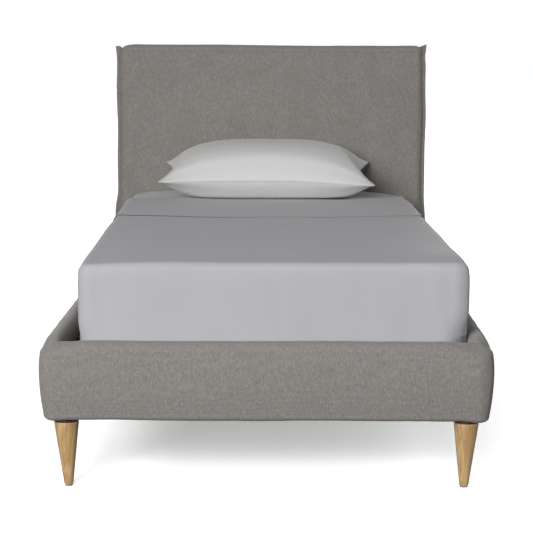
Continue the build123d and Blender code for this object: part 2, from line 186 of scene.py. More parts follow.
ROLL = SIDE_HIGH.x - SIDE_LOW.x  # depth of the rolled top
BOARD_INNER = HALF - BOARD_LOW.x
BOARD_OUTER = HALF - BOARD_HIGH.x
CLOTH = 1.5 * MM
CORNER = 40 * MM  # plan radius of the rail's front corners
CREST = RAIL_TOP - 28 * MM  # where the rolled top begins
SEAM_RADIUS = 3.2 * MM  # how far the cover turns in at a seam
BULGE = 0.297  # height where the face stands out furthest
BOTTOM_EDGE = (0.019, RAIL_BOTTOM)  # depth and height where the flat bottom ends
BOTTOM_ROUND = (0.0130, 0.1805)
FACE_FOOT = (0.0098, 0.190)  # where the face starts
TAIL_TOP, TAIL_FOOT = 0.322, 0.300  # of the cover where it lies flat on the board's inside


def rail_section():
    """The padding's section round the board: depth, height, and 1 on the skin or 0 inside.

    Depth is counted from the outer face."""
    tail = BOARD_INNER + CLOTH
    skin = line((BOARD_INNER, RAIL_BOTTOM), BOTTOM_EDGE, 3)
    skin += arc(BOTTOM_EDGE, BOTTOM_ROUND, FACE_FOOT, 6)
    skin += arc(FACE_FOOT, (0, BULGE), (0.0025, CREST), 16)
    skin += arc((0.003, CREST), (ROLL / 2, RAIL_TOP), (ROLL, CREST), 22)
    skin += line((ROLL, CREST), (tail, TAIL_TOP), 4)
    skin += line((tail, TAIL_TOP), (tail, TAIL_FOOT), 3)
    inside = [
        (tail, TAIL_FOOT),
        (BOARD_INNER, TAIL_FOOT),
        (BOARD_INNER, BOARD_HIGH.z),
        (BOARD_OUTER, BOARD_HIGH.z),
        (BOARD_OUTER, BOARD_LOW.z),
        (BOARD_INNER, BOARD_LOW.z),
    ]
    section = [(s, z, 1.0) for s, z in skin] + [(s, z, 0.0) for s, z in inside]
    return np.array(section)


def section_normals(section):
    """Outward direction in depth and height at each point of a section."""
    along = np.roll(section[:, :2], -1, axis=0) - np.roll(section[:, :2], 1, axis=0)
    out = np.stack([-along[:, 1], along[:, 0]], axis=1)
    return -out / np.maximum(np.linalg.norm(out, axis=1), 1e-9)[:, None]


def rail_swell(co):
    """How far the padding stands out at each point: soft unevenness of stuffed cloth."""
    wave = 0.8 * ripple(co, 0.32, 3) + 0.5 * ripple(co, 0.12, 4) + 0.16 * ripple(co, 0.04, 5)
    crest = step(co[:, 2], 0.335, 0.365)
    return MM * (wave * (1 - 0.45 * crest) + 0.5 * crest * ripple(co, 0.07, 6))


SECTION = rail_section()
OUTWARD = section_normals(SECTION)


def tuck(distance):
    """How far the cover turns in at that distance from a seam."""
    left = SEAM_RADIUS - min(distance, SEAM_RADIUS)
    return SEAM_RADIUS - math.sqrt(max(SEAM_RADIUS**2 - left**2, 0))


def rail_ring(place, normal, seam_distance, corner=None):
    """One ring of the rail's surface, from a place on the outer face.

    corner gives each depth's plan point instead."""
    depth, height, on_skin = SECTION.T
    normal = np.array(normal)[None, :]
    flat = np.array(place)[None, :] - depth[:, None] * normal if corner is None else corner(depth)
    turned = on_skin * tuck(seam_distance)
    ring = np.zeros((len(depth), 3))
    ring[:, :2] = flat + (OUTWARD[:, 0] * turned)[:, None] * normal
    ring[:, 2] = height - OUTWARD[:, 1] * turned
    puffed = on_skin * rail_swell(ring) * step(seam_distance, 0, 0.03)
    ring[:, :2] -= (OUTWARD[:, 0] * puffed)[:, None] * normal
    ring[:, 2] += OUTWARD[:, 1] * puffed
    return ring


def seam_spaced(length, pitch):
    """Distances along a length, close together at both ends, where seams are."""
    close = np.array([0, 0.3, 0.8, 1.5, 2.3, 3.2, 5, 8, 13, 20]) * MM
    middle = np.linspace(close[-1], length - close[-1], max(2, round((length - 2 * close[-1]) / pitch)))
    return np.concatenate([close[:-1], middle, length - close[:-1][::-1]])


def hang(ring):
    """At the front corners the cover sags a little underneath, and its crest falls away."""
    x, y, z = ring[:, 0], ring[:, 1], ring[:, 2]
    sag = step(y, FRONT + 0.12, FRONT + 0.03) * step(z, 0.25, 0.18)
    from_corner = np.hypot(HALF - np.abs(x), y - FRONT)
    depth = np.minimum(HALF - np.abs(x), y - FRONT)
    fall = 17.0 * step(from_corner, 0.13, 0.01) * step(z, 0.29, RAIL_TOP)
    fall = fall * step(depth, 0.9 * ROLL, 0.3 * ROLL)
    ring[:, 2] -= MM * (sag * (3.0 * step(-x, 0.47, 0.53) + 4.5 * step(x, 0.47, 0.53)) + fall)
    return ring


def side_rail(side, name):
    rings = []
    for along in seam_spaced(BUTT - SEAM, 0.012):
        near = min(along, BUTT - SEAM - along)
        ring = rail_ring((side * HALF, SEAM + along), (side, 0), near)
        rings.append(hang(ring))
    return loft(name, rings if side > 0 else rings[::-1])


def foot_rail(name):
    """The foot rail with its two round corners, from seam to seam."""
    straight = [("side", d * MM, 0) for d in (0, 0.3, 0.8, 1.5, 2.3)]
    turn = [("arc", SEAM_RADIUS + CORNER * angle, angle) for angle in np.linspace(0, math.pi / 2, 13)]

    def corner_of(side, place, normal):
        """Plan points for each depth that never cross the inner corner."""

        def of(depth):
            flat = np.array(place)[None, :] - depth[:, None] * np.array(normal)[None, :]
            flat[:, 0] = side * np.minimum(side * flat[:, 0], HALF - depth)
            flat[:, 1] = np.maximum(flat[:, 1], FRONT + depth)
            sharp = depth >= CORNER
            mixed = np.stack([side * (HALF - depth), FRONT + depth], axis=1)
            if 0 < normal[0] * side < 1:
                flat[sharp] = mixed[sharp]
            return flat

        return of

    def end(side):
        made = []
        for kind, distance, angle in straight + turn:
            if kind == "side":
                place, normal = (side * HALF, SEAM - distance), (side, 0)
            else:
                normal = (side * math.cos(angle), -math.sin(angle))
                place = (side * span + CORNER * normal[0], FRONT + CORNER + CORNER * normal[1])
            made.append(rail_ring(place, normal, distance, corner_of(side, place, normal)))
        return made

    span = HALF - CORNER
    rings = end(-1)
    for x in np.linspace(-span, span, 101)[1:-1]:
        place, normal = (x, FRONT), (0, -1)
        rings.append(rail_ring(place, normal, 1, corner_of(math.copysign(1, x), place, normal)))
    rings += end(1)[::-1]
    return loft(name, [hang(ring) for ring in rings])


rails = [
    foot_rail("foot_rail_upholstery"),
    side_rail(-1, "left_rail_upholstery"),
    side_rail(1, "right_rail_upholstery"),
]


# ---- slabs with rounded plan and edges


def spaced(half, fine, coarse, inner):
    """Grid lines from -half to half: fine near both ends, over inner, and coarse between."""
    edge = np.linspace(half - inner, half, max(2, math.ceil(inner / fine)) + 1)
    count = max(2, math.ceil(2 * (half - inner) / coarse))
    middle = np.linspace(-(half - inner), half - inner, count + 1)
    return np.concatenate([-edge[::-1], middle[1:-1], edge])


FINE, COARSE = 0.009, 0.022  # pitches of a slab's top grid, near its edge and in its middle


class Slab:
    """A block with round plan corners, one radius for each end of y.

    rows are (inset, height) from its foot to the edge of its top."""

    def __init__(self, a, b, corner, rows, xs=None, ys=None, closed=False):
        self.points, self.faces = [], []
        self.a, self.b, self.corner = a, b, corner
        self.top_inset, top_height = rows[-1]
        xs = spaced(a - self.top_inset, FINE, COARSE, max(corner)) if xs is None else xs
        ys = spaced(b - self.top_inset, FINE, COARSE, max(corner)) if ys is None else ys
        last_x, last_y = len(xs) - 1, len(ys) - 1
        rim = [(i, 0) for i in range(last_x + 1)] + [(last_x, j) for j in range(1, last_y + 1)]
        rim += [(i, last_y) for i in range(last_x - 1, -1, -1)] + [(0, j) for j in range(last_y - 1, 0, -1)]
        self.grid(xs, ys, self.top_inset, top_height)
        self.wall([[self.rim_point(xs[i], ys[j], inset) + (z,) for i, j in rim] for inset, z in rows])
        if closed:
            self.grid(xs, ys, *rows[0])

    def inside(self, x, y, inset):
        """Where a point of the rectangle goes in the rounded outline, both moved in by inset."""
        a, b, r = self.a - inset, self.b - inset, max(self.corner[int(y > 0)] - inset, 0)
        share = max(abs(x) / a, abs(y) / b)
        cx, cy = share * (a - r), share * (b - r)
        dx, dy = abs(x) - cx, abs(y) - cy
        if share < 1e-9 or dx <= 0 or dy <= 0:
            return (x, y)
        size = math.hypot(dx, dy)
        return (math.copysign(cx + share * r * dx / size, x), math.copysign(cy + share * r * dy / size, y))

    def rim_point(self, x, y, inset):
        """A point of the outline moved in by inset, for a point of the top grid's rim."""
        corner = self.corner[int(y > 0)]
        cx, cy = self.a - corner, self.b - corner
        px, py = self.inside(x, y, self.top_inset)
        fx, fy = min(max(px, -cx), cx), min(max(py, -cy), cy)
        reach = (corner - inset) / math.hypot(px - fx, py - fy)
        return (fx + (px - fx) * reach, fy + (py - fy) * reach)

    def grid(self, xs, ys, inset, height):
        """A flat face of the block, moved in by inset."""
        start = len(self.points)
        scale_x = (self.a - inset) / (self.a - self.top_inset)
        scale_y = (self.b - inset) / (self.b - self.top_inset)
        for y in ys:
            for x in xs:
                self.points.append(self.inside(x * scale_x, y * scale_y, inset) + (height,))
        n = len(xs)
        for j in range(len(ys) - 1):
            for i in range(n - 1):
                k = start + j * n + i
                self.faces.append((k, k + 1, k + n + 1, k + n))

    def wall(self, loops):
        """The sides, through loops of points."""
        start, n = len(self.points), len(loops[0])
        self.points += [p for loop in loops for p in loop]
        for r in range(len(loops) - 1):
            low = start + r * n
            for i in range(n):
                k = (i + 1) % n
                self.faces.append((low + i, low + k, low + n + k, low + n + i))


def edge_rows(bottom, top, radius, pitch, foot_radius=0.0):
    """(inset, height) rows of a side: rounded at the top, and at the foot if foot_radius is given."""
    rows = []
    if foot_radius:
        for t in np.linspace(0, math.pi / 2, 7)[:-1]:
            rows.append((foot_radius * (1 - math.sin(t)), bottom + foot_radius * (1 - math.cos(t))))
    low, high = bottom + foot_radius, top - radius
    rows += [(0.0, z) for z in np.linspace(low, high, max(2, round((high - low) / pitch)) + 1)[:-1]]
    quarter = np.linspace(0, math.pi / 2, 9)
    return rows + [(radius * (1 - math.cos(t)), high + radius * math.sin(t)) for t in quarter]


# ---- mattress and bedding

BED_LOW, BED_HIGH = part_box("mattress")
BED_HALF = (0.4815, 0.951)
BED_CORNER = (0.025, 0.075)  # plan radius at the foot and at the head
BED_EDGE = 0.020
BED_TURN = math.radians(0.8)
BED_MIDDLE = ((BED_LOW.x + BED_HIGH.x) / 2, (BED_LOW.y + BED_HIGH.y) / 2, 0)
SIDE_PITCH = 0.016  # of the rows down the bedding's sides
SHEET = 1.5 * MM  # room for one layer of cloth
CLOTH_THICK = 0.7 * MM
FOLD = 0.600 - BED_MIDDLE[1]  # where the flat sheet turns back, from the middle of the mattress
FOLD_HIGH = 6 * MM  # how far the turned fold stands up
CUFF = 0.55  # length over which the folded layer moves down onto the one below


def bed_field(co):
    """How far the bedding stands off its plain shape: worn corners, and slight unevenness all over."""
    x, y, z = co[:, 0], co[:, 1], co[:, 2]
    at_head = step(y, 0.52, 0.93)
    top = step(z, 0.50, 0.555)
    drop = 13 * step(x, 0.30, 0.475) * at_head + 6 * step(-x, 0.34, 0.475) * at_head
    drop += 3.0 * step(np.abs(x), 0.36, 0.48) * top
    drop += 2.0 * step(-y, 0.80, 0.95) * top
    wave = 0.5 * ripple(co, 0.55, 11) + 0.5 * ripple(co, 0.2, 12)
    at_foot = step(-y, 0.0, 0.95)
    lean = 2.5 * step(x, 0.30, 0.48) * at_foot - 4.5 * step(-x, 0.30, 0.48) * at_foot
    corner = step(-y, 0.88, 0.945)
    pull = 22 * step(x, 0.42, 0.48) * corner * step(0.44 - z, 0.0, 0.085)
    pull += 9 * step(-x, 0.43, 0.48) * corner * step(0.41 - z, 0.0, 0.05)
    return MM * (wave + lean - drop * top - pull)


def bed_out(co):
    """The direction away from the mattress at each point near it, the same for every layer."""
    deep = 0.06
    high = np.array([BED_HALF[0] - deep, BED_HALF[1] - deep, BED_HIGH.z - deep])
    away = co - np.clip(co, [-high[0], -high[1], -np.inf], high)
    return away / np.maximum(np.linalg.norm(away, axis=1), 1e-6)[:, None]


def bed_slab(out, low, closed=False):
    """The mattress's shape moved out by out, and the rows of its sides."""
    rows = edge_rows(low, BED_HIGH.z + out, BED_EDGE + out, SIDE_PITCH, 0.02 if closed else 0.0)
    corner = (BED_CORNER[0] + out, BED_CORNER[1] + out)
    return Slab(BED_HALF[0] + out, BED_HALF[1] + out, corner, rows, closed=closed), rows


def on_bed(piece):
    """Bedding is made straight round the middle of the mattress, shaped, then turned into place."""
    piece.data.transform(Matrix.Translation(BED_MIDDLE) @ Matrix.Rotation(BED_TURN, 4, "Z"))
    piece.data.update()
    return piece


def mattress_piece():
    slab, _ = bed_slab(0.0, BED_LOW.z, closed=True)
    piece = mesh_piece("mattress_core", slab.points, slab.faces)
    swell(piece, bed_field, bed_out)
    return on_bed(piece)


def thicken(piece):
    """Gives a sheet its thickness, inwards, as part of its mesh."""
    modifier = piece.modifiers.new("thickness", "SOLIDIFY")
    modifier.thickness = CLOTH_THICK
    modifier.offset = -1
    modifier.use_even_offset = False
    apply_modifiers(piece)


def apply_modifiers(piece):
    evaluated = piece.evaluated_get(bpy.context.evaluated_depsgraph_get())
    mesh = bpy.data.meshes.new_from_object(evaluated)
    piece.modifiers.clear()
    old = piece.data
    piece.data = mesh
    mesh.name = piece.name
    bpy.data.meshes.remove(old)
    mesh.shade_smooth()


def facing_out(piece):
    """Turns a sheet's faces so that the one at the foot looks away from the bed."""
    work = bmesh.new()
    work.from_mesh(piece.data)
    face = min(work.faces, key=lambda f: f.calc_center_median().y)
    if face.normal.y > 0:
        bmesh.ops.reverse_faces(work, faces=work.faces)
    work.to_mesh(piece.data)
    work.free()
    piece.data.update()


def fitted_sheet_piece():
    slab, _ = bed_slab(SHEET, BED_LOW.z + SHEET)
    piece = mesh_piece("fitted_sheet_cloth", slab.points, slab.faces)
    facing_out(piece)

    def field(co):
        """The elastic hem gathers the last part of the sides."""
        around = np.arctan2(co[:, 1], co[:, 0] * 2)
        gather = step(0.40 - co[:, 2], 0, 0.08) * 0.8 * np.sin(around * 150)
        return bed_field(co) + MM * gather

    swell(piece, field, bed_out)
    thicken(piece)
    return on_bed(piece)


def cross_profile(out, xs):
    """The flat sheet's line across the bed, moved out by out: up one side, over, and down the other."""
    rows = edge_rows(BED_LOW.z + 2 * SHEET, BED_HIGH.z + out, BED_EDGE + out, SIDE_PITCH)
    a = BED_HALF[0] + out
    left = [(-(a - inset), z) for inset, z in rows[:-1]]
    over = [(x, BED_HIGH.z + out) for x in xs]
    right = [(a - inset, z) for inset, z in rows[:-1][::-1]]
    return np.array(left + over + right)


def slant(x):
    """How much further up the bed the fold lies, towards the right."""
    return 0.19 * step(x, -0.15, 0.45)


def foot_part(slab, start):
    """The points and faces of a slab that lie nearer the foot than start."""
    faces = [face for face in slab.faces if all(slab.points[i][1] < start + 1e-6 for i in face)]
    used = sorted({i for face in faces for i in face})
    renumber = {old: new for new, old in enumerate(used)}
    return [slab.points[i] for i in used], [tuple(renumber[i] for i in face) for face in faces]


def lower_layer(base, start, xs):
    """Rows across the bed from start to the fold, and round it."""
    stations = [(y, base) for y in np.linspace(start, FOLD, 72)]
    for t in np.linspace(0, math.pi, 9)[1:-1]:
        round_out = FOLD_HIGH / 2 * (1 - math.cos(t))
        stations.append((FOLD + FOLD_HIGH / 2 * math.sin(t) * 1.3, base + round_out))
    rows = []
    for y, out in stations:
        share = max(min((y - start) / (FOLD - start), 1), 0) ** 2
        rows.append([(x, y + share * slant(x), z) for x, z in cross_profile(out, xs)])
    return rows


def folded_layer(base, xs):
    """Rows across the bed from the fold back to the sheet's free edge, which is curved."""
    shares = [np.linspace(0, 0.12, 9), np.linspace(0.12, 0.94, 26)[1:], np.linspace(0.94, 1, 6)[1:]]
    rows = []
    for t in np.concatenate(shares):
        settled = 4.0 * math.exp(-t * CUFF / 0.05)
        profile = cross_profile(base + MM * (2.0 + settled + 0.5 * float(step(t, 0.97, 1.0))), xs)
        across = profile[:, 0]
        edge = 0.02 - BED_MIDDLE[1] + 0.105 * np.minimum(np.abs(across) / BED_HALF[0], 1) ** 2.2
        edge += 0.012 * np.sin(across * 9 + 1)
        folds = FOLD + slant(across)
        rows.append([(x, f + (e - f) * t, z) for (x, z), f, e in zip(profile, folds, edge)])
    return rows


def flat_sheet_piece():
    """The sheet over the foot and along the bed, with its head end folded back."""
    base = 2 * SHEET
    slab, rows = bed_slab(base, BED_LOW.z + base)
    xs = spaced(slab.a - slab.top_inset, FINE, COARSE, max(slab.corner))
    start = -(slab.b - slab.top_inset - max(slab.corner))
    points, faces = foot_part(slab, start)
    grid = lower_layer(base, start, xs) + folded_layer(base, xs)
    side = len(rows) - 1
    grid[0][side:-side] = [slab.inside(x, y, slab.top_inset) + (z,) for x, y, z in grid[0][side:-side]]
    first, across = len(points), len(grid[0])
    flat_top = BED_HIGH.z + base
    for x, y, z in (point for row in grid for point in row):
        flatter = 1 - 0.6 * float(step(x, -0.3, 0.0))
        points.append((x, y, flat_top + (z - flat_top) * flatter if z > flat_top else z))
    for r in range(len(grid) - 1):
        for i in range(across - 1):
            k = first + r * across + i
            faces.append((k, k + 1, k + across + 1, k + across))
    piece = mesh_piece("flat_sheet_cloth", points, faces)
    facing_out(piece)
    # painted shadow line along the free edge of the turned-back sheet
    paint_open_edge_shade(piece, BED_LOW.z + 20 * MM)

    def field(co):
        """Soft creases near the fold and faint pulls down from the foot's edge."""
        x, y, z = co[:, 0], co[:, 1], co[:, 2]
        fold = step(y, FOLD - 0.25, FOLD) * step(z, 0.5, 0.55)
        crease = fold * 0.9 * ripple(co, 0.09, 21, stretch=(4, 1, 1))
        face = step(-y, 0.945, 0.952)
        pulls = face * 0.7 * ripple(co, 0.05, 22, stretch=(1, 1, 6))
        return bed_field(co) + MM * np.maximum(crease + pulls, -0.9)

    swell(piece, field, bed_out)
    thicken(piece)
    return on_bed(piece)


mattress = mattress_piece()
fitted_sheet = fitted_sheet_piece()
flat_sheet = flat_sheet_piece()


# ---- pillow

PILLOW_LOW, PILLOW_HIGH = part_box("pillowcase")
PILLOW_CUT = (0.762, 0.508)  # the empty case, 30 by 20 inches
PILLOW_THICK = 0.224
PILLOW_MIDDLE_Z = 0.6445
PILLOW_TILT = math.radians(4.8)


def simulate(piece, frames, pressure, stiffness, cap):
    """Blows up a closed piece of cloth with no gravity. No point may move further than cap(points)."""
    rest = coordinates(piece)
    cloth = piece.modifiers.new("cloth", "CLOTH")
    cloth.settings.quality = 6
    cloth.settings.mass = 0.25
    cloth.settings.tension_stiffness = stiffness
    cloth.settings.compression_stiffness = stiffness
    cloth.settings.shear_stiffness = stiffness / 2
    cloth.settings.bending_stiffness = 2.0
    cloth.settings.use_pressure = True
    cloth.settings.uniform_pressure_force = pressure
    cloth.settings.effector_weights.gravity = 0
    cloth.point_cache.frame_start = 1
    cloth.point_cache.frame_end = frames
    for at in range(1, frames + 1):
        scene.frame_set(at)
    evaluated = piece.evaluated_get(bpy.context.evaluated_depsgraph_get())
    moved = vertex_values(evaluated.data, "co") - rest
    piece.modifiers.remove(cloth)
    scene.frame_set(1)
    size = np.linalg.norm(moved, axis=1)
    move_points(piece, rest + moved * np.minimum(1, cap(rest) / np.maximum(size, 1e-9))[:, None])


def pillow_blank():
    """Two layers of cloth sewn round their edges and filled: full in the middle, with points.

    Its sides are pulled in between the points."""
    wide, deep = PILLOW_CUT
    half_thick = 0.105
    nx, ny = 88, 60

    def eased(i, count):
        """-1 to 1, closer together at the ends."""
        share = 0.9
        return math.sin(math.pi / 2 * (2 * i / count - 1) * share) / math.sin(math.pi / 2 * share)

    points, faces = [], []
    for layer in (1, -1):
        for j in range(ny + 1):
            for i in range(nx + 1):
                u, v = eased(i, nx), eased(j, ny)
                dome = ((1 - abs(u) ** 2.7) * (1 - abs(v) ** 2.4)) ** 0.72
                pinch = 1 - 0.085 * (1 - v * v) ** 1.6 * abs(u) ** 5
                tuck_in = 1 - 0.060 * (1 - u * u) ** 0.9 * abs(v) ** 5
                points.append((wide / 2 * u * pinch, deep / 2 * v * tuck_in, layer * half_thick * dome))
    row = nx + 1
    for layer in (0, 1):
        base = layer * row * (ny + 1)
        for j in range(ny):
            for i in range(nx):
                k = base + j * row + i
                face = (k, k + 1, k + row + 1, k + row)
                faces.append(face if layer == 0 else face[::-1])
    piece = mesh_piece("pillow_in_case", points, faces)
    # painted shade along the seam round the pillow's rim
    paint_seam_shade(piece, lambda co: (np.abs(co[:, 2]) < 0.5 * MM).astype(float))
    return piece


def pillow_piece():
    """The filled pillow blown up a little, then laid on the bed and pressed flat underneath."""
    piece = pillow_blank()

    def cap(co):
        """11 mm, and little at the four points, which stay sharp."""
        towards_point = np.abs(co[:, 0] * 2 / PILLOW_CUT[0]) ** 3 * np.abs(co[:, 1] * 2 / PILLOW_CUT[1]) ** 3
        return 11 * MM * (1 - 0.85 * np.minimum(towards_point * 1.6, 1))

    simulate(piece, frames=14, pressure=3.5, stiffness=10, cap=cap)
    co = coordinates(piece)
    low, high = co.min(0), co.max(0)
    target = np.array([PILLOW_HIGH.x - PILLOW_LOW.x, PILLOW_HIGH.y - PILLOW_LOW.y, PILLOW_THICK])
    co = (co - (low + high) / 2) / (high - low) * target
    y, z = co[:, 1].copy(), co[:, 2].copy()
    co[:, 1] = y * math.cos(PILLOW_TILT) - z * math.sin(PILLOW_TILT)
    co[:, 2] = y * math.sin(PILLOW_TILT) + z * math.cos(PILLOW_TILT)
    co[:, 1] *= target[1] / np.ptp(co[:, 1])
    co[:, 2] -= 9 * MM * step(co[:, 0], 0.05, 0.36) * step(-co[:, 1], 0, 0.2)
    co += np.array([(PILLOW_LOW.x + PILLOW_HIGH.x) / 2, (PILLOW_LOW.y + PILLOW_HIGH.y) / 2, PILLOW_MIDDLE_Z])
    soft = 12 * MM
    floor_z = PILLOW_LOW.z + 1.5 * MM + soft
    below = floor_z - co[:, 2]
    co[:, 2] = np.where(below > 0, floor_z - soft * (1 - np.exp(-np.maximum(below, 0) / soft)), co[:, 2])
    soft = 4 * MM
    roof_z = PILLOW_HIGH.z - soft
    over = co[:, 2] - roof_z
    co[:, 2] = np.where(over > 0, roof_z + soft * (1 - np.exp(-np.maximum(over, 0) / soft)), co[:, 2])
    move_points(piece, co)
    subdivide = piece.modifiers.new("subdivide", "SUBSURF")
    subdivide.levels = subdivide.render_levels = 1
    apply_modifiers(piece)
    return piece


pillow = pillow_piece()


# ---- headboard

BOARD_A = (HEAD_HIGH.x - HEAD_LOW.x) / 2
BOARD_B = (HEAD_HIGH.z - HEAD_LOW.z) / 2
BOARD_MIDDLE = (HEAD_HIGH.z + HEAD_LOW.z) / 2
FLANGE_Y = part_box("headboard_flange_left")[0].y + 1.5 * MM
HEAD_EDGE = 0.018  # radius of the padded face's edge
TOP_CREASE = HEAD_HIGH.z - 24 * MM
EAR_FOOT, EAR_TIP = 1.03, 1.066  # heights between which a flange widens into its ear
BACK_INSET = 6 * MM  # of the back cloth from the headboard's outline
BACK_LIFT = 1.2 * MM


def upright(piece):
    """Stands a slab made flat on its back up as the headboard, facing the foot of the bed."""
    co = coordinates(piece)
    move_points(piece, np.stack([co[:, 0], HEAD_HIGH.y - co[:, 2], co[:, 1] + BOARD_MIDDLE], axis=1))
    return piece


def side_reach(co):
    """How far the headboard's sides stand out from plumb: they flare low down on the left."""
    left = step(co[:, 2], 0.565, 0.475) * 11.0 + 0.9 * np.sin(co[:, 2] * 21 + 1.2)
    right = step(co[:, 2], 0.55, 0.45) * 3.0 + 1.3 * np.sin(co[:, 2] * 17 + 0.4)
    right = right - 3.2 * bump_at(co[:, 2], 1.035, 0.02)
    return MM * np.where(co[:, 0] < 0, left, right)


def top_drop(x):
    """How far the padded top falls away: at its left end, and evenly towards the right."""
    left = 6.0 * step(-x, 0.488, 0.541)
    return MM * (left + 1.0 + 5.0 * x + 0.8 * np.sin(x * 9))


def headboard_upholstery():
    rows = edge_rows(0.0, HEAD_HIGH.y - HEAD_LOW.y, HEAD_EDGE, 0.004, 0.004)
    xs = spaced(BOARD_A - HEAD_EDGE, 0.005, 0.013, 0.035)
    zs = spaced(BOARD_B - HEAD_EDGE, 0.004, 0.013, 0.045)
    slab = Slab(BOARD_A, BOARD_B, (0.0195, 0.0225), rows, xs, zs, closed=True)
    piece = upright(mesh_piece("headboard_upholstery", slab.points, slab.faces))

    def field(co):
        """Crowned and slightly uneven, with a crease under its top edge and a groove at each flange."""
        x, y, z = co[:, 0], co[:, 1], co[:, 2]
        face = step(HEAD_LOW.y + 0.02 - y, 0, 0.012)
        crown = 2.2 * (1 - np.abs(x / BOARD_A) ** 5) * (1 - np.abs((z - BOARD_MIDDLE) / BOARD_B) ** 6)
        uneven = 0.9 * ripple(co, 0.4, 31) + 0.45 * ripple(co, 0.13, 32) + 0.12 * ripple(co, 0.035, 33)
        crease = 0.9 * bump_at(z, TOP_CREASE + 0.0015 * np.sin(x * 11), 0.0035)
        skin = step(HEAD_HIGH.y - y, 0.003, 0.02)
        groove = np.where(x < 0, 4.0, 1.5) * bump_at(y, FLANGE_Y - 0.002, 0.0045)
        groove *= step(np.abs(x), BOARD_A - 0.012, BOARD_A - 0.004)
        return MM * (face * (crown - crease) + skin * uneven - 1.2 * face - groove)

    swell(piece, field)
    co = coordinates(piece)
    edge = step(np.abs(co[:, 0]), BOARD_A - 0.06, BOARD_A)
    co[:, 0] += np.sign(co[:, 0]) * side_reach(co) * edge
    co[:, 2] -= top_drop(co[:, 0]) * step(co[:, 2], HEAD_HIGH.z - 0.06, HEAD_HIGH.z)
    move_points(piece, co)
    return piece


def flange(side, name):
    """The flat seam allowance left standing along the side of the headboard, with its ear at the top."""
    left = side < 0
    top = HEAD_HIGH.z - 10.5 * MM
    heights = np.concatenate([np.linspace(HEAD_LOW.z + 0.002, 1.02, 92), np.linspace(1.02, top, 14)[1:]])
    half = [(0, 1), (0.35, 1), (0.7, 1), (0.9, 0.8), (0.985, 0.4)]
    outline = np.array(half + [(1, 0)] + [(out, -across) for out, across in half[::-1]])
    out, across = outline.T
    rings = []
    for z in heights:
        reach = side_reach(np.array([[side * BOARD_A, FLANGE_Y, z]]))[0]
        reach += (0.0115 if left else 0.0135) + 0.0007 * math.sin(z * 31 + side)
        ear = float(step(z, EAR_FOOT, EAR_TIP))
        inner = BOARD_A - 0.008 - (0.0 if left else 0.012 * ear)
        outer = BOARD_A + reach + (0.0030 if left else 0.0010) * ear
        if left:
            rise = 0.0065 * ear - 0.0060 * ear * step(0.40 - out, 0, 0.40)
        else:
            rise = 0.0045 * ear + 0.0105 * ear * out**1.3 - 0.001
        thick = 0.0017 + 0.0006 * ear
        forward = 0 if left else 0.011 * (1 - out) ** 1.5
        ring = np.zeros((len(outline), 3))
        ring[:, 0] = side * (inner + (outer - inner) * out)
        ring[:, 1] = FLANGE_Y - forward + thick * across + 0.0012 * math.sin(z * 23 + 2 * side) * out
        ring[:, 2] = z + rise
        rings.append(ring)
    return loft(name, rings)


def back_cloth():
    """The taut cloth over the back, turned under along its edges."""
    a, b = BOARD_A - BACK_INSET, BOARD_B - BACK_INSET
    rows = [(0.0, 0.0), (0.0, 0.8 * MM), (0.6 * MM, 1.4 * MM), (1.6 * MM, 1.7 * MM)]
    xs, ys = (spaced(half - rows[-1][0], 0.004, 0.02, 0.03) for half in (a, b))
    slab = Slab(a, b, (0.012, 0.016), rows, xs, ys, closed=True)
    piece = mesh_piece("headboard_back_panel", slab.points, slab.faces)
    co = coordinates(piece)
    from_edge = np.minimum(a - np.abs(co[:, 0]), b - np.abs(co[:, 1]))
    hem = 0.8 * step(from_edge, 0.019, 0.015) * (co[:, 2] > 1.0 * MM)
    pull = 0.6 * ripple(co, 0.09, 41, (1, 3, 1)) * step(from_edge, 0.18, 0.02) * step(from_edge, 0.004, 0.015)
    slack = 1.2 * ripple(co, 0.5, 42) * step(from_edge, 0.0, 0.1)
    co[:, 2] += MM * (hem + pull + slack) + BACK_LIFT
    co[:, 1] -= top_drop(co[:, 0]) * step(co[:, 1], b - 0.06, b)
    co[:, 2] = BACK_LIFT - co[:, 2]
    move_points(piece, co)
    return upright(piece)


headboard = headboard_upholstery()


def headboard_seam_shade(co):
    """Painted shade: in the creases where the flange leaves the padding and under the top edge, and on a band
    along the right edge, which turns away from the key light.
    """
    side = step(np.abs(co[:, 0]), BOARD_A - 0.020, BOARD_A - 0.004) * step(FLANGE_Y - co[:, 1], 0.032, 0.010)
    # painted shade on the right edge's rounding, the side away from the key light
    side = np.maximum(side, 0.8 * step(co[:, 0], BOARD_A - 0.019, BOARD_A - 0.014))
    top = 0.35 * bump_at(co[:, 2], TOP_CREASE, 0.003)
    return np.clip(side + top, 0, 1)


paint_seam_shade(headboard, headboard_seam_shade)
flanges = {"left": flange(-1, "headboard_welt_left"), "right": flange(1, "headboard_welt_right")}
for piece in flanges.values():
    # painted shade on the flange's inner strip, in the crease next to the padding
    paint_seam_shade(piece, lambda co: step(np.abs(co[:, 0]) - BOARD_A - side_reach(co), 0.007, 0.0035))
back = back_cloth()


# ---- materials


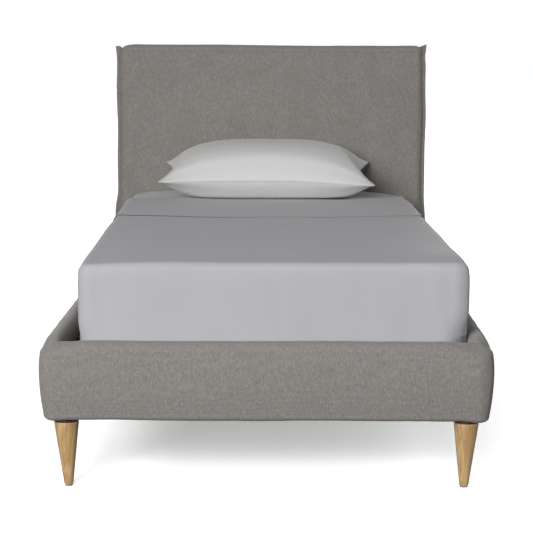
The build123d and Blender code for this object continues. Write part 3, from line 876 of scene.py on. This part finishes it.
class Surface:
    """A procedural material: node() adds a node, with numbers or other nodes' outputs on its inputs."""

    def __init__(self, name):
        self.material = bpy.data.materials.new(name)
        self.material.use_nodes = True
        self.tree = self.material.node_tree
        self.tree.nodes.clear()
        self.out = self.tree.nodes.new("ShaderNodeOutputMaterial")
        self.shader = self.node("BsdfPrincipled")
        self.tree.links.new(self.shader.outputs[0], self.out.inputs["Surface"])
        self.place = self.node("TexCoord").outputs["Object"]

    def node(self, kind, inputs=None, **settings):
        made = self.tree.nodes.new("ShaderNode" + kind)
        for key, value in settings.items():
            setattr(made, key, value)
        for key, value in (inputs or {}).items():
            self.put(made.inputs[key], value)
        return made

    def put(self, socket, value):
        if isinstance(value, bpy.types.NodeSocket):
            self.tree.links.new(value, socket)
        elif isinstance(value, tuple) and len(value) == 3 and socket.type == "RGBA":
            socket.default_value = (*value, 1)
        else:
            socket.default_value = value

    def set(self, **values):
        for key, value in values.items():
            self.put(self.shader.inputs[key.replace("_", " ")], value)

    def math(self, operation, a, b=0.0):
        return self.node("Math", {0: a, 1: b}, operation=operation).outputs[0]

    def add(self, a, b):
        return self.math("ADD", a, b)

    def times(self, a, b):
        return self.math("MULTIPLY", a, b)

    def noise(self, scale, detail=2.0, rough=0.5, stretch=(1, 1, 1), distortion=0.0):
        place = self.node("Mapping", {"Vector": self.place, "Scale": stretch}).outputs[0]
        inputs = {"Vector": place, "Scale": scale, "Detail": detail, "Roughness": rough}
        return self.node("TexNoise", {**inputs, "Distortion": distortion}).outputs["Fac"]

    def ramp(self, value, stops):
        made = self.node("ValToRGB", {"Fac": value})
        points = made.color_ramp.elements
        while len(points) < len(stops):
            points.new(0.5)
        for point, (at, colour) in zip(points, stops):
            point.position = at
            point.color = (*colour, 1) if isinstance(colour, tuple) else (colour, colour, colour, 1)
        return made.outputs[0]

    def mix(self, share, a, b, blend="MIX"):
        made = self.node("Mix", data_type="RGBA", blend_type=blend)
        self.put(made.inputs[0], share)
        self.put(made.inputs[6], a)
        self.put(made.inputs[7], b)
        return made.outputs[2]

    def scaled(self, value, low, high, to_low, to_high):
        """value from low..high spread over to_low..to_high."""
        return self.node("MapRange", {0: value, 1: low, 2: high, 3: to_low, 4: to_high}).outputs[0]

    def spread(self, value, to_low, to_high):
        """A noise's usual range spread over to_low..to_high."""
        return self.scaled(value, 0.3, 0.7, to_low, to_high)

    def axes(self):
        split = self.node("SeparateXYZ", {0: self.place})
        return split.outputs[0], split.outputs[1], split.outputs[2]

    def weave(self, pitch):
        """A plain weave's threads seen from any side, about -3 to 3."""
        x, y, z = (self.math("SINE", self.times(axis, 2 * math.pi / pitch)) for axis in self.axes())
        return self.add(self.add(x, y), z)

    def bump(self, height, distance, strength=1.0, normal=None):
        inputs = {"Height": height, "Distance": distance, "Strength": strength}
        if normal is not None:
            inputs["Normal"] = normal
        return self.node("Bump", inputs).outputs[0]


def upholstery_cloth():
    """Coarse heathered weave in two greys, with slubs along its warp."""
    s = Surface("upholstery_fabric")
    thread_dark, thread_mid, thread_pale = (0.138, 0.127, 0.117), (0.213, 0.199, 0.186), (0.316, 0.298, 0.281)
    warp = s.noise(520, 3, 0.7, (1, 1, 0.16))
    weft = s.noise(520, 3, 0.7, (0.2, 0.2, 1))
    fleck = s.noise(330, 4, 0.75, (1, 1, 0.3))
    cloud = s.noise(9, 3, 0.6)
    patch = s.noise(38, 3, 0.6)
    yarn = s.add(s.times(warp, 0.6), s.times(weft, 0.4))
    mixed = s.add(s.times(yarn, 0.55), s.times(fleck, 0.45))
    base = s.ramp(mixed, [(0.34, thread_dark), (0.5, thread_mid), (0.66, thread_pale)])
    toned = s.mix(s.spread(cloud, 0.0, 0.03), base, (0.33, 0.315, 0.30))
    toned = s.mix(s.scaled(patch, 0.35, 0.65, 0.0, 0.03), toned, (0.14, 0.13, 0.12))
    weave = s.weave(0.0016)
    # the seam attribute darkens the fabric: painted shade in the headboard's creases, on its right edge and
    # on the flanges
    seam = s.node("Attribute", attribute_name="seam").outputs["Fac"]
    shade = s.math("SUBTRACT", s.scaled(weave, -2.0, 2.0, 0.94, 1.05), s.times(seam, 0.2))
    shade = s.node("CombineColor", {0: shade, 1: shade, 2: shade}).outputs[0]
    s.set(Base_Color=s.mix(1.0, toned, shade, "MULTIPLY"), Roughness=s.spread(fleck, 0.82, 0.96))
    s.set(Sheen_Weight=0.25, Sheen_Roughness=0.45, Sheen_Tint=(0.8, 0.78, 0.76), Specular_IOR_Level=0.25)
    rough = s.add(s.times(weave, 0.12), s.times(mixed, 1.3))
    s.set(Normal=s.bump(rough, 0.0007, 0.8, s.bump(patch, 0.0012, 0.5)))
    return s.material


def cotton(name, colour, tint, pitch=0.0007, crumple=0.35):
    """Fine plain cotton: a tight weave, threads of uneven weight, and faint creasing."""
    s = Surface(name)
    thread = s.add(s.noise(900, 2, 0.6, (1, 0.12, 1)), s.noise(900, 2, 0.6, (0.12, 1, 1)))
    cloud = s.noise(5, 3, 0.55)
    toned = s.mix(s.scaled(thread, 0.8, 1.2, 0.0, 0.16), colour, tint)
    toned = s.mix(s.spread(cloud, 0.0, 0.22), toned, tint)
    # the seam attribute darkens the cloth: painted shade along the pillow's seam and a painted shadow line at
    # the flat sheet's free edge
    seam = s.node("Attribute", attribute_name="seam").outputs["Fac"]
    toned = s.mix(s.times(seam, 0.4), toned, tuple(0.5 * c for c in tint))
    weave = s.weave(pitch)
    s.set(Base_Color=toned, Roughness=s.scaled(thread, 0.8, 1.2, 0.68, 0.82))
    s.set(Sheen_Weight=0.12, Sheen_Roughness=0.4, Sheen_Tint=(1, 1, 1), Specular_IOR_Level=0.3)
    creased = s.noise(16, 4, 0.55, (1, 1, 1), 0.6)
    fine = s.add(s.times(weave, 0.15), s.times(thread, 0.6))
    s.set(Normal=s.bump(fine, 0.00018, 0.7, s.bump(creased, 0.0022, crumple)))
    return s.material


def timber(name, pale, dark, axis, scale=1.0, rough=0.55, coat=0.0):
    """Wood whose grain runs along axis, with growth rings, fibres and pores."""
    s = Surface(name)
    along = tuple(0.06 if letter == axis else 1 for letter in "xyz")
    fine = tuple(0.02 if letter == axis else 1 for letter in "xyz")
    broad = s.noise(14.0 * scale, 3, 0.55, along, 0.6)
    bands = s.math("SINE", s.times(broad, 42.0))
    fibre = s.noise(420 * scale, 3, 0.65, fine)
    pores = s.noise(900 * scale, 2, 0.5, fine)
    grain = s.scaled(bands, -1, 1, 0.0, 0.55)
    grain = s.add(grain, s.spread(fibre, 0.0, 0.45))
    middle = tuple((a + b) / 2 for a, b in zip(pale, dark))
    base = s.ramp(grain, [(0.15, pale), (0.5, middle), (0.95, dark)])
    pored = s.mix(s.scaled(pores, 0.62, 0.78, 0.0, 0.5), base, tuple(c * 0.55 for c in dark))
    s.set(Base_Color=pored, Roughness=s.spread(fibre, rough - 0.08, rough + 0.12))
    s.set(Coat_Weight=coat, Coat_Roughness=0.3, Specular_IOR_Level=0.4)
    s.set(Normal=s.bump(s.add(fibre, s.times(bands, 0.1)), 0.0003, 0.45))
    return s.material


def steel(name, colour, rough, metal):
    """Plated or painted steel with fine scratches and slight mottling."""
    s = Surface(name)
    scratch = s.noise(700, 2, 0.6, (0.05, 1, 1))
    mottle = s.noise(60, 3, 0.6)
    s.set(Base_Color=s.mix(s.spread(mottle, 0.0, 0.35), colour, tuple(c * 0.72 for c in colour)))
    s.set(Metallic=metal, Roughness=s.spread(scratch, rough - 0.08, rough + 0.12))
    s.set(Normal=s.bump(s.add(scratch, mottle), 0.00012, 0.4))
    return s.material


def plastic(name, colour):
    """Moulded plastic with a fine matt grain and scuffs."""
    s = Surface(name)
    grain = s.noise(1600, 2, 0.5)
    scuff = s.noise(120, 3, 0.6, (1, 1, 0.3))
    worn = tuple(min(1, c * 1.35) for c in colour)
    s.set(Base_Color=s.mix(s.scaled(scuff, 0.45, 0.75, 0.0, 0.5), colour, worn))
    s.set(Roughness=s.spread(scuff, 0.45, 0.68), Specular_IOR_Level=0.45)
    s.set(Normal=s.bump(grain, 0.0001, 0.5))
    return s.material


def ribbed_webbing():
    """Black woven tape with ribs across it."""
    s = Surface("webbing")
    ribs = s.math("SINE", s.times(s.axes()[1], 2 * math.pi / 0.0018))
    fuzz = s.noise(800, 3, 0.6)
    s.set(Base_Color=s.ramp(fuzz, [(0.3, 0.018), (0.7, 0.06)]))
    s.set(Roughness=s.spread(fuzz, 0.75, 0.92))
    s.set(Normal=s.bump(s.add(ribs, fuzz), 0.0003, 0.7))
    return s.material


def ticking():
    """Quilted knit of a mattress: shallow diamonds of stitching on a pale ground."""
    s = Surface("mattress_ticking")
    x, y, z = s.axes()
    per_metre = 2 * math.pi / 0.06
    down = s.math("SINE", s.times(s.add(s.add(x, y), z), per_metre))
    up = s.math("SINE", s.times(s.math("SUBTRACT", s.add(x, z), y), per_metre))
    quilt = s.times(s.math("ABSOLUTE", down), s.math("ABSOLUTE", up))
    knit = s.noise(1100, 2, 0.6)
    s.set(Base_Color=s.ramp(s.add(quilt, knit), [(0.45, (0.62, 0.62, 0.60)), (1.1, (0.80, 0.80, 0.77))]))
    s.set(Roughness=s.spread(knit, 0.75, 0.9), Sheen_Weight=0.15)
    s.set(Normal=s.bump(quilt, 0.004, 0.5, s.bump(knit, 0.0002, 0.6)))
    return s.material


def coat(piece, material):
    piece.data.materials.clear()
    piece.data.materials.append(material)


fabric = upholstery_cloth()
oak = ((0.56, 0.385, 0.19), (0.37, 0.225, 0.095))
pine = ((0.66, 0.49, 0.29), (0.46, 0.30, 0.155))
ply = ((0.62, 0.47, 0.29), (0.44, 0.31, 0.17))
# the collar's colour: partly its own dark stain, partly painted shade where the rail shadows the top of the
# leg
walnut_and_shade = ((0.10, 0.042, 0.026), (0.035, 0.014, 0.010))
leg_wood = timber("leg_wood", *oak, "z", 1.6, 0.42, coat=0.25)
collar_stain_and_shade = timber("leg_collar_stain", *walnut_and_shade, "z", 1.6, 0.38, coat=0.3)
pine_x = timber("pine_across", *pine, "x")
pine_y = timber("pine_along", *pine, "y")
pine_z = timber("pine_upright", *pine, "z")
plywood = timber("plywood", *ply, "z", 0.7, 0.62)
zinc = steel("zinc_steel", (0.62, 0.62, 0.60), 0.35, 1.0)
black = steel("black_steel", (0.035, 0.035, 0.037), 0.45, 0.2)
glide_plastic = plastic("glide_plastic", (0.24, 0.24, 0.25))
webbing = ribbed_webbing()

node_finishes = (  # by the start of a CAD node's name; the first that fits
    (zinc, "leg_hanger_bolts", "leg_inserts", "bracket_screws", "headboard_bolts"),
    (zinc, "leveler_nuts", "leveler_stem"),
    (black, "foot_brackets", "head_brackets", "beam_saddles"),
    (webbing, "slat_straps"),
    (pine_x, "slats", "foot_rail_board", "corner_block"),
    (pine_x, "headboard_top_rail", "headboard_middle_rail", "headboard_bottom_rail"),
    (pine_y, "centre_beam", "slat_ledger", "left_rail_board", "right_rail_board"),
    (pine_z, "support_leg", "headboard_stile"),
    (plywood, "headboard_panel"),
    (glide_plastic, "leveler_pad", "leg_glide"),
    (collar_stain_and_shade, "leg_collar"),
    (leg_wood, "leg_"),
)

flat_cotton = cotton("flat_sheet_cotton", (0.398, 0.399, 0.420), (0.355, 0.356, 0.376))
fitted_cotton = cotton("fitted_sheet_cotton", (0.45, 0.458, 0.437), (0.40, 0.408, 0.388))
case_cotton = cotton("pillowcase_cotton", (0.58, 0.585, 0.575), (0.53, 0.535, 0.525), 0.0008, 0.5)
core_ticking = ticking()

# ---- what each piece is, rides on and replaces


def dress(piece, material, body, slot, *nodes):
    """Gives a piece its material and its body, and hides the CAD nodes it stands for. slot is not used."""
    coat(piece, material)
    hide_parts(*nodes)
    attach(piece, body)


for piece in rails:
    rail = piece.name.removesuffix("_upholstery")
    dress(piece, fabric, "bed_frame", "upholstery_fabric", rail + "_cover", rail + "_foam")

dress(headboard, fabric, "bed_frame", "upholstery_fabric", "headboard_cover", "headboard_foam")

for side, piece in flanges.items():
    dress(piece, fabric, "bed_frame", "upholstery_fabric", "headboard_flange_" + side)

dress(back, fabric, "bed_frame", "upholstery_fabric", "headboard_back_cloth")

dress(mattress, core_ticking, "mattress", "mattress_ticking", "mattress")

dress(fitted_sheet, fitted_cotton, "mattress", "fitted_sheet_cotton", "fitted_sheet")

dress(flat_sheet, flat_cotton, "mattress", "flat_sheet_cotton", "flat_sheet")

dress(pillow, case_cotton, "pillow", "pillowcase_cotton", "pillow", "pillowcase")

for name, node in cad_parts.items():
    if not node.hide_render:
        coat(node, next(finish for finish, *starts in node_finishes if name.startswith(tuple(starts))))


# ---- floor, light and camera


KEY_PLACE, KEY_WATTS, KEY_SIZE = (-3.05, -8.9, 3.15), 990, 3.4  # the soft key light
DOME = 0.215  # strength of the light from above and from the sides
BOUNCE = 0.03  # strength of the light from below
FLOOR_GLOW = 0.385  # keeps the paper white where no light falls on it
FILL_SIZE = (3.4, 0.6)
FILLS = (  # low soft lights that light only the bed: where from, and watts
    ((8.0, 0.5, 0.2), 200),
    ((0.3, 8.5, 0.7), 420),
    ((-7.0, 5.0, 0.2), 120),
)
FLOOR_LIGHTS = (  # suns that light only the floor: where from, strength, and angle in degrees
    ((-0.5, -4.0, 2.6), 2.3, 28),
    ((-3.0, -0.9, 2.5), 1.3, 22),
    ((3.0, -0.9, 2.0), 1.3, 45),
)
CAMERA_PLACE = (0.0303, -4.9154, 1.1052)
CAMERA_HEADING, CAMERA_DOWN, CAMERA_ROLL = 0.44, 8, 0.11  # degrees
SENSOR_MM, LENS_MM = 36, 110.27


def paper_floor():
    mesh = bpy.data.meshes.new("floor")
    mesh.from_pydata([(-30, -30, 0), (30, -30, 0), (30, 30, 0), (-30, 30, 0)], [], [(0, 1, 2, 3)])
    floor = bpy.data.objects.new("floor", mesh)
    scene.collection.objects.link(floor)
    s = Surface("floor_paper")
    fibre = s.noise(300, 3, 0.6)
    s.set(Base_Color=s.ramp(fibre, [(0.3, 0.86), (0.7, 0.88)]), Roughness=0.9, Specular_IOR_Level=0.1)
    s.set(Emission_Color=(1, 1, 1), Emission_Strength=FLOOR_GLOW)
    coat(floor, s.material)
    floor.visible_diffuse = False
    floor.visible_glossy = False
    return floor


def white_world():
    """White to the camera; to the bed a dome that is bright above and dim below."""
    world = bpy.data.worlds.new("studio")
    scene.world = world
    world.use_nodes = True
    tree = world.node_tree
    tree.nodes.clear()
    out, seen, lit = (tree.nodes.new("ShaderNode" + k) for k in ("OutputWorld", "Background", "Background"))
    which, path = (tree.nodes.new("ShaderNode" + k) for k in ("MixShader", "LightPath"))
    place, split, dome = (tree.nodes.new("ShaderNode" + k) for k in ("TexCoord", "SeparateXYZ", "MapRange"))
    tree.links.new(place.outputs["Generated"], split.inputs[0])
    tree.links.new(split.outputs[2], dome.inputs[0])
    for socket, value in zip(dome.inputs[1:5], (-0.2, 0.3, BOUNCE, DOME)):
        socket.default_value = value
    tree.links.new(dome.outputs[0], lit.inputs["Strength"])
    for background in (lit, seen):
        background.inputs["Color"].default_value = (1, 1, 1, 1)
    seen.inputs["Strength"].default_value = 1.0
    tree.links.new(path.outputs["Is Camera Ray"], which.inputs[0])
    tree.links.new(lit.outputs[0], which.inputs[1])
    tree.links.new(seen.outputs[0], which.inputs[2])
    tree.links.new(which.outputs[0], out.inputs["Surface"])


def lamp(name, kind, place, target, energy):
    light = bpy.data.lights.new(name, kind)
    light.energy = energy
    made = bpy.data.objects.new(name, light)
    aim = (Vector(target) - Vector(place)).to_track_quat("-Z", "Y")
    made.matrix_world = Matrix.Translation(place) @ aim.to_matrix().to_4x4()
    scene.collection.objects.link(made)
    return made


def lights(floor):
    lamp("key", "AREA", KEY_PLACE, (0, -0.4, 0.4), KEY_WATTS).data.size = KEY_SIZE
    bed_only = bpy.data.collections.new("bed_only")
    for piece in [o for o in scene.collection.all_objects if o.type == "MESH" and o != floor]:
        bed_only.objects.link(piece)
    for place, watts in FILLS:
        fill = lamp("fill", "AREA", place, (0, 0.2, 0.5), watts)
        fill.data.shape = "RECTANGLE"
        fill.data.size, fill.data.size_y = FILL_SIZE
        fill.light_linking.receiver_collection = bed_only
    floor_only = bpy.data.collections.new("floor_only")
    floor_only.objects.link(floor)
    for place, strength, angle in FLOOR_LIGHTS:
        wash = lamp("floor_wash", "SUN", place, (0, 0, 0), strength)
        wash.data.angle = math.radians(angle)
        wash.light_linking.receiver_collection = floor_only


def camera_in_place():
    lens = bpy.data.cameras.new("camera")
    lens.sensor_width = SENSOR_MM
    lens.lens = LENS_MM
    camera = bpy.data.objects.new("camera", lens)
    heading = Matrix.Rotation(math.radians(CAMERA_HEADING), 4, "Z")
    pitch = Matrix.Rotation(math.radians(90 - CAMERA_DOWN), 4, "X")
    roll = Matrix.Rotation(math.radians(CAMERA_ROLL), 4, "Z")
    camera.matrix_world = Matrix.Translation(CAMERA_PLACE) @ heading @ pitch @ roll
    scene.collection.objects.link(camera)
    scene.camera = camera


floor = paper_floor()
white_world()
lights(floor)
camera_in_place()
scene.view_settings.view_transform = "Standard"
